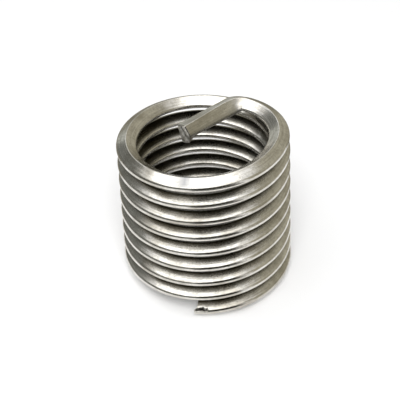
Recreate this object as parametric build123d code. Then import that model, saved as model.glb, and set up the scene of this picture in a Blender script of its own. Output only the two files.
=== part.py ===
from build123d import *
import os
from math import atan, cos, degrees, radians, sin, tan

# A wire thread insert: one spring of diamond wire that is screwed into a tapped hole
# and then takes a bolt in its bore. A driving tang crosses the bore at its top end.
# This is the free coil, before it is wound down into its hole, for an M10 x 1.25 thread.
# It stands on its cut tail, its axis is Z, and the origin is under it on the axis.

# Wire: a diamond on its side, its blunt corners up and down, its sharp ones rounded.
thread_angle = 60.0        # between the flanks of the corner that faces the tapped hole
bore_angle = 66.0          # between the flanks of the corner that faces the bolt
wire_height = 1.09         # along the axis, over the two blunt corners
crest_radius = 0.24        # rounding of the sharp corner that faces the tapped hole
bore_radius = 0.18         # rounding of the sharp corner that faces the bolt

# Coil, in its free state: wound a little wider at the tail than under the tang.
tail_diameter = 12.42      # over the outer crests, at the tail
top_diameter = 11.77       # over the outer crests, where the lead-in starts
coil_pitch = 1.344         # climb of the wire in one turn
coil_turns = 8.232         # from the tail to the start of the lead-in
tail_azimuth = -101.5      # degrees round Z from +X, where the wire starts
tail_cut_angle = 20.0      # the shears leave the outer crest longer than the bore side

# Lead-in: the last of the coil, wound tighter so that the insert finds its hole.
lead_radius = 3.79         # of the wire's middle
lead_turn = 77.0           # degrees

# Driving tang, bent across the bore in the plane of the lead-in and cut off square.
bend_radius = 1.1          # of the wire's middle
bend_turn = 68.0           # degrees
bend_roll = 15.0           # degrees that the wire rolls in the bend, its bore side down
tang_length = 4.15         # straight part, along the wire's middle

# Worked out from the sizes above.
half_angle = radians(thread_angle / 2)
outer_corner = wire_height / 2 / tan(half_angle)
bore_corner = wire_height / 2 / tan(radians(bore_angle / 2))
outer_reach = outer_corner - crest_radius * (1 / sin(half_angle) - 1)
coil_height = coil_pitch * coil_turns
coil_taper = degrees(atan((tail_diameter - top_diameter) / 2 / coil_height))


def wire_section():
    """The wire's section: X towards the tapped hole, Y along the coil's axis."""
    half = wire_height / 2
    diamond = Polygon((outer_corner, 0), (0, half), (-bore_corner, 0), (0, -half), align=None)
    rounded = fillet(diamond.vertices().sort_by(Axis.X)[-1], crest_radius)
    return fillet(rounded.vertices().sort_by(Axis.X)[0], bore_radius)


def coil_plane(path, at):
    """The plane across the wire at a point of the coil, its X away from the axis."""
    middle = path @ at
    outward = Vector(middle.X, middle.Y, 0).normalized()
    return Plane(origin=middle, x_dir=outward, z_dir=path % at)


def bend_axis(plane, radius):
    """The line on the bore side of the wire that a bend from this plane turns about."""
    upward = plane.x_dir.cross(plane.z_dir)
    return Axis(plane.origin - plane.x_dir * radius, upward)


def plane_after(plane, radius, angle):
    """The plane across the wire at the end of a bend."""
    turn = Axis((0, 0, 0), bend_axis(plane, radius).direction)
    outward = plane.x_dir.rotate(turn, angle)
    centre = plane.origin - plane.x_dir * radius
    return Plane(
        origin=centre + outward * radius,
        x_dir=outward,
        z_dir=plane.z_dir.rotate(turn, angle),
    )


def end_face(piece, plane):
    """The face that closes a piece of wire at the plane across it."""
    return piece.faces().sort_by_distance(plane.origin)[0]


# The coil is swept along its helix, which narrows from the tail to the lead-in.
helix = Helix(
    pitch=coil_pitch,
    height=coil_height,
    radius=tail_diameter / 2 - outer_reach,
    cone_angle=-coil_taper,
)
coil_path = Rot(0, 0, tail_azimuth) * helix
tail_plane = coil_plane(coil_path, 0)
lead_plane = coil_plane(coil_path, 1)
coil = sweep(tail_plane * wire_section(), path=coil_path, is_frenet=True)

# The shears cut the tail aslant and leave its outer crest the longest. The part stands on
# the lower ridge beside this cut.
lean = radians(tail_cut_angle)
cut_plane = Plane(
    origin=tail_plane.origin + tail_plane.z_dir * outer_reach * tan(lean),
    x_dir=tail_plane.x_dir * cos(lean) - tail_plane.z_dir * sin(lean),
    z_dir=tail_plane.z_dir * -cos(lean) - tail_plane.x_dir * sin(lean),
)
waste_size = (coil_pitch + wire_height) / 2    # it stays clear of the turn above the tail
waste = extrude(cut_plane * Rectangle(2 * wire_height, waste_size), wire_height)
coil -= waste

# Each further piece of wire grows from the face that closes the piece before it.
lead = revolve(
    end_face(coil, lead_plane),
    axis=bend_axis(lead_plane, lead_radius),
    revolution_arc=lead_turn,
)
bend_plane = plane_after(lead_plane, lead_radius, lead_turn)
tang_plane = plane_after(bend_plane, bend_radius, bend_turn)
bend_start = end_face(coil, lead_plane).rotate(bend_axis(lead_plane, lead_radius), lead_turn)
bend_end = bend_start.rotate(bend_axis(bend_plane, bend_radius), bend_turn)
bend_end = bend_end.rotate(Axis(tang_plane.origin, tang_plane.z_dir), -bend_roll)
bend_path = TangentArc(bend_plane.origin, tang_plane.origin, tangent=bend_plane.z_dir)
bend = sweep([bend_start, bend_end], path=bend_path, multisection=True)
tang = extrude(bend_end, tang_length, dir=tang_plane.z_dir)

# One piece of wire, set down with its lowest point at height 0.
wire_insert = coil + lead + bend + tang
wire_insert = Pos(0, 0, -wire_insert.bounding_box().min.Z) * wire_insert

os.makedirs("parts", exist_ok=True)
export_step(wire_insert, "parts/wire_insert.step")
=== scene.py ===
# %% [markdown]
# # A helical wire thread insert
#
# This notebook dresses the plain model of a wire thread insert. The real object is one
# length of bright stainless wire, drawn through a diamond-shaped die and wound on a
# mandrel into a thread of a little over eight turns. Its last bit is bent across the
# bore as a tang, which the fitting tool pushes on.
#
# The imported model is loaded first. It gives the frame that everything is placed in, and
# its box is kept, because the dressed wire may not grow out of it.

# %% Load the model and keep its box
from math import acos, cos, pi, radians, sin, tan

import bpy
import numpy as np
from mathutils import Matrix, Vector


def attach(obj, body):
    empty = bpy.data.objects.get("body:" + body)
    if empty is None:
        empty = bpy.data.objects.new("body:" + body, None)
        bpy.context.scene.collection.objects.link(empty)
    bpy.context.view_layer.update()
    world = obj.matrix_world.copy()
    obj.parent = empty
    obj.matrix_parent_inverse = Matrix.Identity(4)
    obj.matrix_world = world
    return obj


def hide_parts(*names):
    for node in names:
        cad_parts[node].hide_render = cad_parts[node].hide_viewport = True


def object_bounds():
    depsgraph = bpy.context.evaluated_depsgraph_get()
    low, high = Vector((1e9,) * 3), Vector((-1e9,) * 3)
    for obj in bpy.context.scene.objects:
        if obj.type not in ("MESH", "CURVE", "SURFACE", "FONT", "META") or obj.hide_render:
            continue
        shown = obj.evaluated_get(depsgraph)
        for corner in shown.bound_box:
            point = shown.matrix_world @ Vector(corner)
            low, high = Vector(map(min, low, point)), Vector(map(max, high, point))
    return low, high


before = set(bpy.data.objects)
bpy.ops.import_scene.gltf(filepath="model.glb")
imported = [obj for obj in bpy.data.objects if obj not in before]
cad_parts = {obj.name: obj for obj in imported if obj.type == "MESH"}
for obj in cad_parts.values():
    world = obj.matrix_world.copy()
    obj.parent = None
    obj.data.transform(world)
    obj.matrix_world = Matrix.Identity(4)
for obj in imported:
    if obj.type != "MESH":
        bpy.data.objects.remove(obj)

model_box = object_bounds()
mm = 0.001
print("model box, mm:", [[round(v / mm, 3) for v in corner] for corner in model_box])

# %% [markdown]
# ## The line the wire follows
#
# The coil could be a Blender curve with a bevel, but a curve turns its bevel as it
# likes, and here the diamond has to keep its sharp corners pointing in and out. So the
# wire is built from cross-sections, one after another along its middle line, and each
# has its own place and directions. The sizes are the real ones, in millimetres: a
# helix that narrows slightly, a tighter lead-in, the bend and the straight tang.

# %% Sizes of the wire, the coil and the tang
wire_height = 1.09
thread_angle = radians(60.0)    # of the corner that faces the tapped hole
bore_angle = radians(66.0)      # of the corner that faces the bolt
crest_radius = 0.24
bore_radius = 0.18
tail_diameter = 12.42
top_diameter = 11.77
coil_pitch = 1.344
coil_turns = 8.232
tail_azimuth = radians(-101.5)
lead_radius = 3.79
lead_turn = radians(77.0)
bend_radius = 1.1
bend_turn = radians(68.0)
tang_length = 4.15

outer_corner = wire_height / 2 / tan(thread_angle / 2)
bore_corner = wire_height / 2 / tan(bore_angle / 2)
outer_reach = outer_corner - crest_radius * (1 / sin(thread_angle / 2) - 1)
bore_reach = bore_corner - bore_radius * (1 / sin(bore_angle / 2) - 1)
tail_radius = tail_diameter / 2 - outer_reach
narrowing = (tail_diameter - top_diameter) / 2 / coil_turns
print("the wire is", round(outer_reach + bore_reach, 3), "mm wide")

# %% [markdown]
# ## One section at a time
#
# A section is known by its middle and by three directions: outward, onward along the wire,
# and upward. Blender could find such directions along a curve by itself, but it would not
# know about the coil's taper or the twist of the tang. On the coil they come straight from
# the angle. A bend turns them about a line on the bore side, and a roll turns two of them
# about the wire itself.

# %% Turn a direction
def unit(v):
    return v / np.linalg.norm(v)


def spun(v, axis, angle):
    """v turned round a unit axis."""
    return (v * cos(angle) + np.cross(axis, v) * sin(angle)
            + axis * np.dot(axis, v) * (1 - cos(angle)))


# %% A section of the coil, one after a bend, and one rolled in place
def coil_section(turn):
    """Middle, outward, onward and upward directions after so many turns of the coil."""
    angle = tail_azimuth + 2 * pi * turn
    radius = tail_radius - narrowing * turn
    outward = np.array([cos(angle), sin(angle), 0.0])
    sideways = np.array([-sin(angle), cos(angle), 0.0])
    middle = outward * radius + np.array([0, 0, coil_pitch * turn])
    onward = unit(sideways * radius * 2 * pi - outward * narrowing
                  + np.array([0, 0, coil_pitch]))
    outward = unit(outward - onward * np.dot(outward, onward))
    return middle, outward, onward, np.cross(outward, onward)


def bend_section(start, radius, angle):
    """The section after a bend towards the bore."""
    middle, outward, onward, upward = start
    centre = middle - outward * radius
    turned_out = spun(outward, upward, angle)
    return centre + turned_out * radius, turned_out, spun(onward, upward, angle), upward


def rolled(section, angle):
    """The section rolled about the wire's own middle line, its bore side down."""
    middle, outward, onward, upward = section
    return middle, spun(outward, onward, -angle), onward, spun(upward, onward, -angle)


tail_climb = float(np.degrees(np.arcsin(coil_section(0)[2][2])))
print("the wire climbs", round(tail_climb, 2), "degrees at the tail")

# %% [markdown]
# ## The whole row of sections
#
# The sections stand close together where the shape changes fast: at the torn ends and in
# the bend. Even steps would need many times as many faces to show the same burrs. The
# wire rolls about itself as it is bent, from a quarter of the way into the bend, and some
# of that roll is lost again along the tang.

# %% Where the sections stand along the wire
tail_end = 0.04                 # turns of the coil, with the finest steps
tail_near = 0.12                # turns of the coil, with fine steps
steps_a_turn = 120
cropped_end = 0.7               # mm of the tang, with fine steps

tail_steps = np.concatenate([np.linspace(0, tail_end, 56)[:-1],
                             np.linspace(tail_end, tail_near, 30)[:-1]])
coil_steps = np.linspace(tail_near, coil_turns, int(steps_a_turn * coil_turns))
lead_steps = np.linspace(0, lead_turn, 28)[1:]
bend_steps = np.linspace(0, bend_turn, 36)[1:]
tang_steps = np.concatenate([np.linspace(0, tang_length - cropped_end, 30)[1:],
                             np.linspace(tang_length - cropped_end, tang_length, 29)[1:]])
print(len(tail_steps) + len(coil_steps), "sections on the coil,",
      len(lead_steps) + len(bend_steps) + len(tang_steps), "after it")

# %% Lay out the coil and the lead-in
turns = list(tail_steps) + list(coil_steps)
sections = [coil_section(t) for t in turns]
lead_start = sections[-1]
for a in lead_steps:
    sections.append(bend_section(lead_start, lead_radius, a))
    turns.append(coil_turns + a / (2 * pi))
wound_turns = turns[-1]
print("wound:", round(wound_turns, 3), "turns")

# %% Lay out the bend and the tang
most_roll = radians(19.0)       # where the bend ends
end_roll = radians(12.0)        # at the cropped end
roll_starts = 0.25              # share of the bend that stays unrolled
roll_takes = 0.6                # share of the bend in which the roll grows

bend_start = sections[-1]
for a in bend_steps:
    grown = min(1.0, max(0.0, (a / bend_turn - roll_starts) / roll_takes))
    sections.append(rolled(bend_section(bend_start, bend_radius, a), most_roll * grown))
bend_end = bend_section(bend_start, bend_radius, bend_turn)
for s in tang_steps:
    roll = most_roll + (end_roll - most_roll) * s / tang_length
    middle, outward, onward, upward = rolled(bend_end, roll)
    sections.append((middle + onward * s, outward, onward, upward))

past_the_coil = 99.0            # no turn of the coil lies beside the bend and the tang
turns += [past_the_coil] * (len(sections) - len(turns))
turns = np.array(turns)
middles, outwards, onwards, upwards = (np.array([s[k] for s in sections]) for k in range(4))
along = np.concatenate([[0], np.cumsum(np.linalg.norm(np.diff(middles, axis=0), axis=1))])
wire_length = along[-1]
print(len(sections), "sections,", round(wire_length, 1), "mm of wire")

# %% [markdown]
# ## The wire's section
#
# Seen end on, the wire is a diamond lying on its side. Its two sharp corners are the
# crests of the outer and the bore thread and are rounded, and the blunt corners above
# and below keep a hair of rounding from the die. A bevel modifier could round them all
# alike, but each corner has its own radius, so the outline is drawn corner by corner.
# A few points along each flank leave room for dents and burrs to be pushed in later.

# %% Round one corner
def rounded_corner(corner, before, after, radius, steps):
    """Points of the arc that rounds a corner, from the flank before it to the one after."""
    to_before = unit(before - corner)
    to_after = unit(after - corner)
    half = acos(float(np.dot(to_before, to_after))) / 2
    centre = corner + unit(to_before + to_after) * radius / sin(half)
    first = corner + to_before * radius / tan(half) - centre
    arc = pi - 2 * half
    return [centre + np.array([first[0] * cos(a) - first[1] * sin(a),
                               first[0] * sin(a) + first[1] * cos(a)])
            for a in np.linspace(0, arc, steps + 1)]


# %% Outline of the section, outwards X and upwards Y
ridge_radius = 0.07
flank_shares = (0.06, 0.3, 0.5, 0.7, 0.94)

crest = np.array([outer_corner, 0.0])
ridge = np.array([0.0, wire_height / 2])
bore_crest = np.array([-bore_corner, 0.0])
corners = [rounded_corner(crest, -ridge, ridge, crest_radius, 16),
           rounded_corner(ridge, crest, bore_crest, ridge_radius, 4),
           rounded_corner(bore_crest, ridge, -ridge, bore_radius, 10),
           rounded_corner(-ridge, bore_crest, crest, ridge_radius, 4)]
outline = []
for k, corner in enumerate(corners):
    outline += corner
    flank_start = corner[-1]
    flank_end = corners[(k + 1) % len(corners)][0]
    outline += [flank_start + (flank_end - flank_start) * share for share in flank_shares]
outline = np.array(outline)
around = np.concatenate([[0], np.cumsum(np.linalg.norm(
    np.diff(np.vstack([outline, outline[:1]]), axis=0), axis=1))])
print(len(outline), "points round the section, X", outline[:, 0].min().round(3),
      "to", outline[:, 0].max().round(3))

# %% [markdown]
# ## The sheared tail
#
# The tail was cut with shears that left the outer crest longer than the flanks, with a
# rounded nose, and tore a short gouge along the upper edge of that crest. A boolean cut
# would leave long thin faces, so the outline's points are slid along the wire and pushed
# in or out instead. Each section keeps its own copy of the outline for that. The gouge
# is jagged and wanders, so its depth and its way come from a few random numbers, always
# the same ones.

# %% Lean the cut
rows, count = len(sections), len(outline)
shape = np.tile(outline, (rows, 1, 1))
slide = np.zeros((rows, count))
marks = np.zeros((rows, count, 3))      # painted groove shade, painted gouge and crack shade, smeared: each from 0 to 1
cut_lean = 0.12                 # mm back for each mm nearer the bore
nose_ahead = 0.17               # the crest stands this far before the flanks
cut_spread = 3.0                # the points behind the cut close up over this length
cut_waves = 0.01


def smooth(value, start, end):
    """0 before start, 1 after end, and an even curve between them."""
    share = np.clip((value - start) / (end - start), 0, 1)
    return share * share * (3 - 2 * share)


def tail_cut(x):
    """How far the cut lies behind the crest's nose, from the outward place in the section."""
    return nose_ahead * (1 - smooth(x, 0.42, 0.6)) + np.clip(0.6 - x, 0, 2) * cut_lean


def tail_face(x, y):
    """How far the cut lies at a place in the section. It has no crack."""
    return float(tail_cut(x)) + cut_waves * sin(31 * x + 7 * y), 0.0


fade = 1 - smooth(along, 0, cut_spread)
slide += fade[:, None] * tail_cut(outline[:, 0])[None, :]
print("cut leans back", round(float(slide[0].max()), 2), "mm")

# %% Round the crest's nose
nose_length = 0.13
nose_shrinks = 0.35
nose_roundness = 0.75

crest_share = smooth(outline[:, 0], 0.4, 0.56)
crest_middle = np.array([outer_corner - 2 * crest_radius, 0.0])
nose = 1 - np.sqrt(1 - np.clip(1 - along / nose_length, 0, 1) ** 2 * nose_roundness)
shape += (nose[:, None] * crest_share[None, :])[..., None] * (crest_middle - shape) * nose_shrinks
print("nose shrinks by", round(float(nose.max()) * nose_shrinks, 2), "at its tip")

# %% Tear the gouge
gouge_depth = 0.11
gouge_opens = (0.02, 0.12)      # mm of wire from the cut
gouge_closes = (0.6, 1.05)
gouge_lean = 56.0               # degrees up from straight outward
gouge_width = 15.0              # degrees
gouge_turns_down = 16.0         # degrees, towards its far end
torn_span = 1.3                 # mm of wire that the random numbers are spread over

rng = np.random.default_rng(4)
jagged = np.interp(along, np.linspace(0, torn_span, 27), rng.uniform(0.45, 1.0, 27))
wander = np.interp(along, np.linspace(0, torn_span, 14), rng.uniform(-9, 9, 14))
wander = wander - gouge_turns_down * smooth(along, 0.45, 0.95)
torn_length = smooth(along, *gouge_opens) * (1 - smooth(along, *gouge_closes)) * jagged
lean = np.degrees(np.arctan2(outline[:, 1], outline[:, 0] - crest_middle[0]))
outer_half = outline[:, 0] > 0
off_the_gouge = lean[None, :] - gouge_lean - wander[:, None]
torn = torn_length[:, None] * np.exp(-(off_the_gouge / gouge_width) ** 2) * outer_half
to_middle = crest_middle - outline
to_middle /= np.linalg.norm(to_middle, axis=1)[:, None]
shape += torn[..., None] * to_middle[None] * gouge_depth
# The gouge is marked for painted shade.
marks[..., 1] = smooth(torn, 0.15, 0.4)
print("gouge", round(float(torn.max()) * gouge_depth, 3), "mm deep")

# %% Raise the lip above the gouge
lip_height = 0.05
lip_place = 0.72                # mm of wire from the cut
lip_reach = 0.16                # mm to either side
lip_lean = 84.0                 # degrees
lip_spread = 14.0               # degrees

lip_length = np.exp(-((along - lip_place) / lip_reach) ** 2)
lip_width = np.exp(-((lean - lip_lean) / lip_spread) ** 2) * outer_half
shape -= (lip_length[:, None] * lip_width[None, :])[..., None] * to_middle[None] * lip_height
print("lip", round(float((lip_length.max() * lip_width.max()) * lip_height), 3), "mm high")

# %% [markdown]
# ## The sheared end of the tang
#
# The other end was cropped in the same way, downwards. The bending tool also pushed the
# tang's top ridge outwards. The blade dragged the lower edge of the end into a burr that
# hangs under the tang, and left a rim along one side with a crack beside it. The burr
# could be a piece of its own, but torn metal has no seam, so it is made by pulling the
# lowest points of the last sections down. The rim and the crack come with the cap, which
# closes the end with many small rings.

# %% Push the top ridge out and pull the burr down
ridge_push = 0.2
burr_length = 0.5
burr_drop = 0.55
burr_drift = 0.05
worn_length = 0.09
worn_share = 0.07

left_to_end = wire_length - along
bent_along = wire_length - tang_length - bend_radius * bend_turn / 2    # middle of the bend
pushed_out = smooth(along, bent_along - 0.9, bent_along + 0.9)
pushed_out = pushed_out * (1 - smooth(along, bent_along + 1.0, wire_length))
top_share = smooth(outline[:, 1], 0.05, wire_height / 2)
shape[..., 0] += pushed_out[:, None] * top_share[None, :] * ridge_push
low_share = smooth(-outline[:, 1] + 0.25 * (-outline[:, 0]), -0.02, 0.45)
drag = (1 - smooth(left_to_end, 0.0, burr_length))[:, None] * low_share[None, :]
shape[..., 1] -= drag * burr_drop
shape[..., 0] -= drag * burr_drift
worn_edge = 1 - smooth(left_to_end, 0.0, worn_length)
shape *= (1 - worn_share * worn_edge ** 2)[:, None, None]
print("burr hangs", round(float(drag.max()) * burr_drop, 2), "mm under the tang")

# %% The relief of the cropped face
crack_depth = 0.2
rim_stands = 0.06
far_lip_stands = 0.12
waves_stand = 0.014


def tang_face(x, y):
    """How far the cropped face stands out at a place in the section, and the crack there."""
    lower_edge = np.array([outer_corner, wire_height / 2])
    across = (x - outer_corner) * -lower_edge[1] + y * lower_edge[0]
    inside = across / np.linalg.norm(lower_edge)        # from the outer lower flank
    crack = float(np.exp(-((inside - 0.38) / 0.07) ** 2))
    rim = rim_stands * np.exp(-((inside - 0.12) / 0.09) ** 2)
    far_lip = far_lip_stands * smooth(inside, 0.5, 0.9)
    waves = waves_stand * np.sin(19 * x + 5 * y) * np.cos(23 * y)
    return float(rim + far_lip + waves - crack_depth * crack), crack


print("middle of the cropped face stands", round(tang_face(0.0, 0.0)[0], 3), "mm out")

# %% [markdown]
# ## Painted shade in the grooves
#
# Where turns face each other, the grooves are painted dark as shade, and the crests and
# every flank that lies open stay bright steel. The Ambient Occlusion node could find those
# places, but it is grainy and slow, and the coil tells it exactly: a flank lies in shade
# where the wire has a neighbour on that side. So each point stores how much painted shade
# it gets, and the steel reads that later. One side of the bore gets more painted shade,
# and so does the lower bore-side edge of the tang.

# %% Which flanks get painted shade, and how deep in the groove each point lies
neighbour_above = 1 - smooth(turns, wound_turns - 1.03, wound_turns - 0.97)
neighbour_below = smooth(turns, 0.97, 1.03) * (turns < past_the_coil)
from_outer_crest = outer_reach - outline[:, 0]
from_bore_crest = bore_reach + outline[:, 0]
depth = np.minimum(from_outer_crest, from_bore_crest)       # mm from the nearer crest
# Painted shade, by depth in the groove: a little near the crests and most deep in.
outer_groove_shade = 0.28 * smooth(depth, 0.2, 0.36) + 0.68 * smooth(depth, 0.38, 0.62)
bore_groove_shade = 0.66 * smooth(depth, 0.09, 0.19) + 0.2 * smooth(depth, 0.24, 0.5)
groove_shade_there = np.where(outer_half, outer_groove_shade, bore_groove_shade)
upper_side = smooth(outline[:, 1], -0.06, 0.06)
painted_groove_shade = (neighbour_above[:, None] * (groove_shade_there * upper_side)[None, :]
           + neighbour_below[:, None] * (groove_shade_there * (1 - upper_side))[None, :])
print("sheltered share of the wire:", round(float(painted_groove_shade.mean()), 2))

# %% Painted shade along an edge of the tang and on one side of the bore
tang_edge_shade_strength = 0.6
bore_side_shade_strength = 0.8

# Painted shade along the tang's lower edge on the bore side.
shaded_tang_edge = smooth(-outline[:, 0], 0.48, 0.66) * smooth(outline[:, 1], -0.3, -0.1)
on_tang = smooth(along, bent_along, bent_along + 0.6)
painted_groove_shade += tang_edge_shade_strength * on_tang[:, None] * shaded_tang_edge[None, :]
# More painted shade on one side of the bore.
shaded_bore_side = smooth(-outwards[:, 0], 0.2, 0.8) * smooth(turns, 1, 2)
shaded_bore_side = shaded_bore_side * (turns < wound_turns - 0.9)
bore_side_shade = smooth(depth, 0.08, 0.18) * (outline[:, 0] < 0)
painted_groove_shade += (1 - painted_groove_shade) * bore_side_shade_strength * shaded_bore_side[:, None] * bore_side_shade[None, :]
marks[..., 0] = painted_groove_shade
print("with the pooled film:", round(float(painted_groove_shade.mean()), 2))

# %% [markdown]
# ## A smear and a stretched skin
#
# The front of the top turn has a short grey smear. Where the wire was bent, its skin was
# stretched and turned slightly rough, so a highlight blurs there instead of ending at a
# hard edge. Both could be painted by hand, but a number that rises and falls softly along
# the wire needs no picture and moves with the sizes.

# %% Mark the smear and the stretched skin
smear_azimuth = radians(-104.0)
smear_reach = 0.5               # mm to either side
top_turn_radius = 5.4
full_turns_below = 8
stretched_past = 0.35           # mm from the middle of the bend to the roughest place
stretched_reach = 0.75          # mm to either side

smear_turn = (smear_azimuth - tail_azimuth) / (2 * pi) + full_turns_below
off_the_smear = (turns - smear_turn) * 2 * pi * top_turn_radius
smear_length = np.exp(-(off_the_smear / smear_reach) ** 2)
marks[..., 2] = smear_length[:, None] * smooth(outline[:, 1], 0.1, 0.3)[None, :]
stretched = np.exp(-((along - bent_along - stretched_past) / stretched_reach) ** 2)
print("smear at turn", round(smear_turn, 2), "and skin stretched for",
      round(2 * stretched_reach, 1), "mm")

# %% [markdown]
# ## Closing the mesh
#
# The tube is one quad between each two neighbouring points. Each end is closed with
# rings that shrink to its middle, so that the cropped faces can have their own relief.
# Blender's fill would close an end with one flat face instead. A layer of coordinates
# named "drawn" unrolls the wire: along it and around it, both in millimetres. The drawing
# marks of the finish follow it.

# %% Place every point of the tube
points = (middles[:, None, :] + outwards[:, None, :] * shape[..., 0, None]
          + upwards[:, None, :] * shape[..., 1, None] + onwards[:, None, :] * slide[..., None])
verts = [tuple(p) for p in points.reshape(-1, 3)]
vert_marks = [tuple(m) for m in marks.reshape(-1, 3)]
vert_stretched = [stretched[i] for i in range(rows) for j in range(count)]
vert_drawn = [(along[i], around[j]) for i in range(rows) for j in range(count)]
faces = []
drawn = []
for i in range(rows - 1):
    for j in range(count):
        k = (j + 1) % count
        faces.append((i * count + j, i * count + k, (i + 1) * count + k, (i + 1) * count + j))
        drawn += [(along[i], around[j]), (along[i], around[j + 1]),
                  (along[i + 1], around[j + 1]), (along[i + 1], around[j])]
first_cap = len(faces)
print("tube:", len(faces), "quads")

# %% Close the two ends
rim_blend = 0.12                # share of a cap in which it leaves the height of its rim


def close_end(row, face_at, rim_height, outside_first, rings=16):
    """Adds shrinking rings and a middle point that close the tube at this section."""
    flat = shape[row]
    middle_point = flat.mean(axis=0)

    def add_point(x, y, out, crack):
        verts.append(tuple(middles[row] + outwards[row] * x + upwards[row] * y
                           + onwards[row] * out))
        # The crack is marked for painted shade, like the gouge.
        vert_marks.append((0.0, crack, 0.0))
        vert_stretched.append(0.0)
        vert_drawn.append((x, y))
        return len(verts) - 1

    ring_before = [row * count + j for j in range(count)]
    for r in range(1, rings):
        share = 1 - r / rings
        ring = []
        for j in range(count):
            x, y = middle_point + (flat[j] - middle_point) * share
            out, crack = face_at(x, y)
            out += ((rim_height[j] - face_at(*flat[j])[0])
                    * (1 - smooth(1 - share, 0, rim_blend)))
            ring.append(add_point(x, y, out, crack))
        for j in range(count):
            k = (j + 1) % count
            quad = (ring_before[j], ring_before[k], ring[k], ring[j])
            faces.append(quad[::-1] if outside_first else quad)
        ring_before = ring
    tip = add_point(*middle_point, *face_at(*middle_point))
    for j in range(count):
        k = (j + 1) % count
        triangle = (ring_before[j], ring_before[k], tip)
        faces.append(triangle[::-1] if outside_first else triangle)


close_end(0, tail_face, slide[0], True)
close_end(rows - 1, tang_face, slide[-1], False)
for face in faces[first_cap:]:
    drawn += [vert_drawn[v] for v in face]
print("caps:", len(faces) - first_cap, "faces")

# %% Build the wire
mesh = bpy.data.meshes.new("coil_wire")
mesh.from_pydata((np.array(verts) * mm).tolist(), [], faces)
mesh.uv_layers.new(name="drawn").data.foreach_set("uv", [c for uv in drawn for c in uv])
mark_layer = mesh.color_attributes.new("marks", "FLOAT_COLOR", "POINT")
mark_layer.data.foreach_set("color", [c for m in vert_marks for c in (*m, 1.0)])
stretch_layer = mesh.attributes.new("stretched", "FLOAT", "POINT")
stretch_layer.data.foreach_set("value", vert_stretched)
for index, polygon in enumerate(mesh.polygons):
    polygon.use_smooth = True
    polygon.material_index = 0 if index < first_cap else 1
rims = {frozenset((row * count + j, row * count + (j + 1) % count))
        for row in (0, rows - 1) for j in range(count)}
for edge in mesh.edges:
    if frozenset(edge.vertices) in rims:
        edge.use_edge_sharp = True

lift = model_box[0][2] - min(v.co.z for v in mesh.vertices)
mesh.transform(Matrix.Translation((0, 0, lift)))
wire = bpy.data.objects.new("coil_wire", mesh)
bpy.context.scene.collection.objects.link(wire)
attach(wire, "root")
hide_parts("wire_insert")
print("wire:", len(mesh.vertices), "points,", sum(len(f) - 2 for f in faces), "triangles, lifted",
      round(lift / mm, 4), "mm")

# %% [markdown]
# ## Drawn steel
#
# Wire that was pulled through a die has long fine lines along it and a soft, slightly
# uneven gloss. An image texture would repeat and a plain colour would look cast, so the
# lines are noise that is stretched along the wire: the "drawn" coordinates are squeezed
# one way before the noise reads them. The same noise moves the colour, the roughness and
# a bump of a few thousandths of a millimetre. Over it lie faint brown stains and a fine
# grey grain. The stored marks paint shade into the grooves, the gouge and the crack, and
# the stretched skin is rougher.

# %% Noise, and a value brought to another range
def stretched_noise(tree, coordinates, scale, detail, name):
    """Noise whose grains are as long and as wide as the numbers of the scale ask."""
    mapping = tree.nodes.new("ShaderNodeMapping")
    mapping.inputs["Scale"].default_value = (*scale, 1.0) if len(scale) == 2 else scale
    noise = tree.nodes.new("ShaderNodeTexNoise")
    noise.label = name
    noise.inputs["Scale"].default_value = 1.0
    noise.inputs["Detail"].default_value = detail
    tree.links.new(coordinates, mapping.inputs["Vector"])
    tree.links.new(mapping.outputs["Vector"], noise.inputs["Vector"])
    return noise.outputs["Fac"]


def ranged(tree, value, low, high, start=0.3, end=0.7):
    """Stretches a value from start and end to low and high."""
    node = tree.nodes.new("ShaderNodeMapRange")
    node.inputs["From Min"].default_value = start
    node.inputs["From Max"].default_value = end
    node.inputs["To Min"].default_value = low
    node.inputs["To Max"].default_value = high
    tree.links.new(value, node.inputs["Value"])
    return node.outputs["Result"]


def scaled(tree, share, most):
    """A share from 0 to 1, clipped, times the most it can come to."""
    return ranged(tree, share, 0.0, most, 0.0, 1.0)


# %% Two values or two colours put together
def sum_or_product(tree, operation, first, second):
    """Two values put together by the Math node."""
    node = tree.nodes.new("ShaderNodeMath")
    node.operation = operation
    tree.links.new(first, node.inputs[0])
    tree.links.new(second, node.inputs[1])
    return node.outputs[0]


def blended(tree, share, first, second):
    """Two colours blended by a share; either may be a fixed colour or another node's."""
    node = tree.nodes.new("ShaderNodeMix")
    node.data_type = "RGBA"
    sockets = [s for s in node.inputs if s.type == "RGBA"]
    for socket, colour in zip(sockets, (first, second)):
        if isinstance(colour, tuple):
            socket.default_value = (*colour, 1.0)
        else:
            tree.links.new(colour, socket)
    factor = [s for s in node.inputs if s.type == "VALUE"][0]
    tree.links.new(share, factor)
    return [s for s in node.outputs if s.type == "RGBA"][0]


# %% Start a steel, read the stored marks, and bump its surface
def new_steel(name):
    """A bare metal, with its nodes and its shader."""
    material = bpy.data.materials.new(name)
    material.use_nodes = True
    shader = material.node_tree.nodes["Principled BSDF"]
    shader.inputs["Metallic"].default_value = 1.0
    mesh.materials.append(material)
    return material.node_tree, shader


def stored_marks(tree):
    """How much painted shade the grooves, the gouge and the crack get, and how smeared the wire
    is.
    """
    stored = tree.nodes.new("ShaderNodeVertexColor")
    stored.layer_name = "marks"
    split = tree.nodes.new("ShaderNodeSeparateColor")
    tree.links.new(stored.outputs["Color"], split.inputs["Color"])
    return split.outputs


def bumped(tree, shader, height, distance):
    """Raises the surface by this height times the distance, in metres."""
    bump = tree.nodes.new("ShaderNodeBump")
    bump.inputs["Strength"].default_value = 1.0
    bump.inputs["Distance"].default_value = distance
    tree.links.new(height, bump.inputs["Height"])
    tree.links.new(bump.outputs["Normal"], shader.inputs["Normal"])


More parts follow.
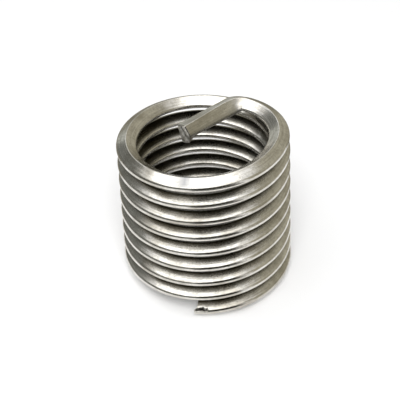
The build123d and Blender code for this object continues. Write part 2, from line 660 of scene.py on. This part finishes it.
# %% The drawn steel's colours
bright_steel = (0.80, 0.78, 0.735)
tired_steel = (0.62, 0.595, 0.54)
stain_brown = (0.40, 0.37, 0.31)
grain_grey = (0.30, 0.29, 0.26)
# Near-black painted into the grooves as shade.
groove_shade_colour = (0.030, 0.024, 0.008)
smear_grey = (0.30, 0.30, 0.30)
# Near-black painted into the gouge and the crack as shade.
gouge_and_crack_shade = (0.012, 0.011, 0.009)

# %% Die lines, brushed patches, grain, film and stains
tree, shader = new_steel("drawn_steel")
unrolled = tree.nodes.new("ShaderNodeUVMap")
unrolled.uv_map = "drawn"
place = tree.nodes.new("ShaderNodeTexCoord").outputs["Object"]
groove_shade_mark, gouge_shade_mark, smeared = stored_marks(tree)[:3]

die_lines = stretched_noise(tree, unrolled.outputs["UV"], (0.25, 9.0), 4.0, "die lines")
brushed = stretched_noise(tree, unrolled.outputs["UV"], (0.8, 3.0), 4.0, "brushed patches")
speckle = stretched_noise(tree, place, (5200, 5200, 5200), 2.0, "speckle")
cloudy = stretched_noise(tree, place, (700, 700, 700), 2.0, "cloudy film")
stains = stretched_noise(tree, place, (480, 480, 480), 5.0, "stains")
print("noises:", [n.label for n in tree.nodes if n.type == "TEX_NOISE"])

# %% Colour of the drawn steel
worn = ranged(tree, sum_or_product(tree, "MULTIPLY", die_lines, brushed), 0.0, 1.0, 0.16, 0.33)
# Painted shade in the grooves, made uneven by the cloudy noise.
groove_shade_amount = sum_or_product(tree, "MULTIPLY", scaled(tree, groove_shade_mark, 1.0),
                      ranged(tree, cloudy, 0.95, 1.02))
colour = blended(tree, worn, bright_steel, tired_steel)
colour = blended(tree, ranged(tree, stains, 0.0, 0.7, 0.48, 0.64), colour, stain_brown)
colour = blended(tree, ranged(tree, speckle, 0.0, 0.3, 0.45, 0.7), colour, grain_grey)
colour = blended(tree, scaled(tree, groove_shade_amount, 1.0), colour, groove_shade_colour)
colour = blended(tree, smeared, colour, smear_grey)
# Painted shade in the gouge.
colour = blended(tree, gouge_shade_mark, colour, gouge_and_crack_shade)
tree.links.new(colour, shader.inputs["Base Color"])

# %% Gloss and bump of the drawn steel
rougher_in_groove_shade = 0.12
rougher_in_bend = 0.22
die_line_bump = 0.000006        # metres

bent_skin = tree.nodes.new("ShaderNodeAttribute")
bent_skin.attribute_name = "stretched"
gloss = sum_or_product(tree, "ADD", ranged(tree, brushed, 0.11, 0.25),
                       ranged(tree, speckle, -0.02, 0.04))
gloss = sum_or_product(tree, "ADD", gloss, scaled(tree, groove_shade_mark, rougher_in_groove_shade))
gloss = sum_or_product(tree, "ADD", gloss,
                       scaled(tree, bent_skin.outputs["Fac"], rougher_in_bend))
tree.links.new(gloss, shader.inputs["Roughness"])
surface = sum_or_product(tree, "ADD", die_lines, ranged(tree, speckle, 0.0, 0.05))
bumped(tree, shader, surface, die_line_bump)
print("drawn steel:", len(tree.nodes), "nodes")

# %% [markdown]
# ## Sheared steel
#
# A sheared face is half smeared and half torn: duller than the drawn skin, blotchy, and
# grainy where the metal broke. The drawn steel could be used here too, but a sheared face
# has no direction, so its noise reads the place in space rather than the unrolled wire.
# Its bump is a few times as deep as the drawing lines.

# %% The sheared steel of the two ends
dull_shear = (0.46, 0.44, 0.39)
bright_shear = (0.88, 0.86, 0.82)
torn_bump = 0.00002             # metres

tree, shader = new_steel("sheared_steel")
place = tree.nodes.new("ShaderNodeTexCoord").outputs["Object"]
blotches = stretched_noise(tree, place, (3600, 3600, 3600), 4.0, "blotches")
grains = stretched_noise(tree, place, (14000, 14000, 14000), 3.0, "torn grains")
colour = blended(tree, ranged(tree, blotches, 0.0, 1.0), dull_shear, bright_shear)
# Painted shade in the crack.
colour = blended(tree, stored_marks(tree)[1], colour, gouge_and_crack_shade)
tree.links.new(colour, shader.inputs["Base Color"])
tree.links.new(ranged(tree, grains, 0.5, 0.75), shader.inputs["Roughness"])
bumped(tree, shader, sum_or_product(tree, "ADD", blotches, grains), torn_bump)
print("sheared steel:", len(tree.nodes), "nodes")

# %% [markdown]
# ## The camera
#
# The insert is seen from in front and well above, so that the ring, the tang and the bore
# all show. Blender's track-to constraint keeps a camera level, but here it leans about
# three degrees, so its directions are worked out and written into its matrix. A long lens
# from some distance keeps the upper and lower turns nearly the same width.

# %% Which way the camera looks
camera_elevation = radians(39.79)
camera_roll = radians(-2.926)
camera_distance = 64.43
aim = np.array([-0.407, 0.0, 5.704])

forward = np.array([0.0, cos(camera_elevation), -sin(camera_elevation)])
level_right = np.array([1.0, 0.0, 0.0])
level_up = np.cross(level_right, forward)
camera_right = level_right * cos(camera_roll) + level_up * sin(camera_roll)
camera_up = level_up * cos(camera_roll) - level_right * sin(camera_roll)
camera_place = (aim - forward * camera_distance) * mm
print("camera at, mm:", (camera_place / mm).round(1))

# %% Camera
camera_data = bpy.data.cameras.new("camera")
camera_data.sensor_width = 36.0
camera_data.lens = 81.0
camera_data.clip_start = mm
camera = bpy.data.objects.new("camera", camera_data)
camera.matrix_world = Matrix((
    (camera_right[0], camera_up[0], -forward[0], camera_place[0]),
    (camera_right[1], camera_up[1], -forward[1], camera_place[1]),
    (camera_right[2], camera_up[2], -forward[2], camera_place[2]),
    (0.0, 0.0, 0.0, 1.0),
))
bpy.context.scene.collection.objects.link(camera)
bpy.context.scene.camera = camera
print("lens:", camera_data.lens, "mm")

# %% [markdown]
# ## The table
#
# A coil with a cut end can't stand quite upright. It rests on its tail and on the lower
# ridge of its first turn, which climbs, so it leans a few degrees. The model is kept
# upright and the table leans instead: its plane passes under the tail and lies along the
# ridge on the far side, half a turn on. A level table would be simpler, but daylight
# would show under most of the coil and its shadow would hang loose. The top is plain
# matt white.

# %% The plane that the coil rests on
tail_way = np.array([cos(tail_azimuth), sin(tail_azimuth)])
beside_way = np.array([-sin(tail_azimuth), cos(tail_azimuth)])
rise_past_tail = -coil_pitch / (4 * tail_radius)
rise_beside = -coil_pitch / (2 * pi * tail_radius)


def table_height(x, y):
    """Height of the table under a place, in millimetres."""
    place = np.array([x, y])
    past_tail = np.dot(place, tail_way) - tail_radius
    return rise_past_tail * past_tail + rise_beside * np.dot(place, beside_way)


print("table under the tail:", round(float(table_height(*(tail_way * tail_radius))), 3),
      "mm, under the axis:", round(float(table_height(0, 0)), 3), "mm")

# %% Table
table_reach = 600.0             # mm to each side
table_white = (0.97, 0.97, 0.97, 1.0)
table_roughness = 0.8

table_corners = [(x * mm, y * mm, table_height(x, y) * mm)
                 for x, y in ((-table_reach, -table_reach), (table_reach, -table_reach),
                              (table_reach, table_reach), (-table_reach, table_reach))]
table_mesh = bpy.data.meshes.new("table")
table_mesh.from_pydata(table_corners, [], [(0, 1, 2, 3)])
table = bpy.data.objects.new("table", table_mesh)
bpy.context.scene.collection.objects.link(table)
table_paint = bpy.data.materials.new("white_table")
table_paint.use_nodes = True
table_shader = table_paint.node_tree.nodes["Principled BSDF"]
table_shader.inputs["Base Color"].default_value = table_white
table_shader.inputs["Roughness"].default_value = table_roughness
table_mesh.materials.append(table_paint)
print("table:", 2 * table_reach, "mm wide")

# %% [markdown]
# ## The lamps
#
# Polished metal shows its lamps, so a point lamp or a sun would leave hard glints. A wide
# round soft box overhead lays one broad highlight on the flanks that face up, and it
# breaks up along the drawing lines. A second soft box in front lights only the table,
# so that the shadow stays close under the coil. It is kept out of the shine, where it
# would be a second highlight that such a plain set-up doesn't have.

# %% Soft boxes
def soft_box(name, width, place, radiance):
    """A round soft box that faces the middle of the table. Its sizes are in metres."""
    data = bpy.data.lights.new(name, "AREA")
    data.shape = "DISK"
    data.size = width
    data.energy = radiance * pi * pi * width ** 2 / 4       # its area times pi
    lamp = bpy.data.objects.new(name, data)
    lamp.location = place
    lamp.rotation_euler = Vector(place).to_track_quat("Z", "Y").to_euler()
    bpy.context.scene.collection.objects.link(lamp)
    return lamp


overhead = soft_box("overhead", 0.36, (-0.06, -0.04, 0.3), 1.25)
front_fill = soft_box("front_fill", 0.3, (0.0, -0.3, 0.4), 7.5)
front_fill.visible_glossy = False
print("soft boxes, W:", round(overhead.data.energy, 2), round(front_fill.data.energy, 2))

# %% [markdown]
# ## The white room
#
# All round is a white room. A ring of wall meshes could be built, but the world's colour
# does the same for nothing. The camera and the steel see it as plain white, at a strength
# of 1. The table gets less of it, because the soft boxes light it too, and all together
# they leave a white thing white and no lighter.

# %% World
room_light = 0.3
room_seen = 1.0

world = bpy.data.worlds.new("studio")
world.use_nodes = True
bpy.context.scene.world = world
room = world.node_tree
light_path = room.nodes.new("ShaderNodeLightPath")
camera_or_steel = sum_or_product(room, "MAXIMUM", light_path.outputs["Is Camera Ray"],
                                 light_path.outputs["Is Glossy Ray"])
seen = sum_or_product(room, "MAXIMUM", camera_or_steel, light_path.outputs["Is Transmission Ray"])
strength = ranged(room, seen, room_light, room_seen, 0.0, 1.0)
room.nodes["Background"].inputs["Color"].default_value = (1.0, 1.0, 1.0, 1.0)
room.links.new(strength, room.nodes["Background"].inputs["Strength"])
print("room: lights at", room_light, "and shows at", room_seen)

# %% [markdown]
# ## Cards and cloths for the shine
#
# In an all-white room bright steel looks like white plastic: it has nothing dark to
# mirror. A product studio stands plain cards round a shiny thing and lays cloths beside
# it, just out of view, and each flank then shows its own even grey. The front gets a
# black card and a black cloth, which draw the dark line over each crest. The left gets
# dark grey, and the right and the back get lighter greys. A picture of a real room could
# be mirrored instead, but this scene uses no images, and plain cards can be moved one at
# a time.

# %% What a card and a cloth are made of
def seen_in_shine(mesh, shade, tint):
    """Makes the mesh an even grey that only the steel sees, and adds it to the stage."""
    material = bpy.data.materials.new(mesh.name)
    material.use_nodes = True
    nodes = material.node_tree.nodes
    nodes.remove(nodes["Principled BSDF"])
    glow = nodes.new("ShaderNodeEmission")
    glow.inputs["Color"].default_value = (*(shade * part for part in tint), 1.0)
    material.node_tree.links.new(glow.outputs[0], nodes["Material Output"].inputs["Surface"])
    mesh.materials.append(material)
    standing = bpy.data.objects.new(mesh.name, mesh)
    bpy.context.scene.collection.objects.link(standing)
    standing.visible_camera = False
    standing.visible_diffuse = False
    standing.visible_shadow = False


# %% Curved cards and fans of cloth
card_distance = 250.0           # mm from the coil's axis
cloth_thickness = 0.3


def strip_between(name, first_edge, second_edge):
    """A mesh strip between two rows of points, given in millimetres."""
    points = [tuple(c * mm for c in p) for pair in zip(first_edge, second_edge) for p in pair]
    quads = [(2 * i, 2 * i + 1, 2 * i + 3, 2 * i + 2) for i in range(len(first_edge) - 1)]
    strip = bpy.data.meshes.new(name)
    strip.from_pydata(points, [], quads)
    return strip


def round_the_coil(middle_azimuth, width, distance, steps=12):
    """Places on an arc round the coil, from azimuths in degrees."""
    azimuths = np.radians(middle_azimuth + np.linspace(-width / 2, width / 2, steps + 1))
    return [(distance * cos(a), distance * sin(a)) for a in azimuths]


def card(name, middle_azimuth, width, top, shade, tint):
    """A curved card that stands on the level, up to an elevation in degrees."""
    arc = round_the_coil(middle_azimuth, width, card_distance)
    height = card_distance * tan(radians(top))
    seen_in_shine(strip_between(name, [(x, y, 0.0) for x, y in arc],
                                [(x, y, height) for x, y in arc]), shade, tint)


def cloth(name, middle_azimuth, width, near, far, shade, tint):
    """A fan of cloth that lies just on the table, between two distances."""
    edges = [[(x, y, table_height(x, y) + cloth_thickness)
              for x, y in round_the_coil(middle_azimuth, width, distance)]
             for distance in (near, far)]
    seen_in_shine(strip_between(name, *edges), shade, tint)


# %% Cards and cloths
warm = (1.0, 0.95, 0.76)
cool = (1.0, 1.02, 0.95)

# Name, middle azimuth, width, then near and far or the top, the shade and the tint.
cloth("grey_cloth_behind", 90, 130, 18, 240, 0.28, warm)
cloth("black_cloth_front", -78, 60, 26, 240, 0.06, warm)
card("black_card_front", -82, 56, 62, 0.03, warm)
card("grey_card_right", 18, 116, 60, 0.42, warm)
card("grey_card_back", 100, 50, 30, 0.5, cool)
card("dark_card_left", 187, 124, 45, 0.19, cool)

# %% [markdown]
# ## Finishing
#
# The view transform is set to Standard, and the view layer is brought up to date. The
# dressed wire has to stay inside the plain model's box, or parts that were fitted to the
# model would clash with what is seen.

# %% Finish
bpy.context.scene.view_settings.view_transform = "Standard"
bpy.context.view_layer.update()
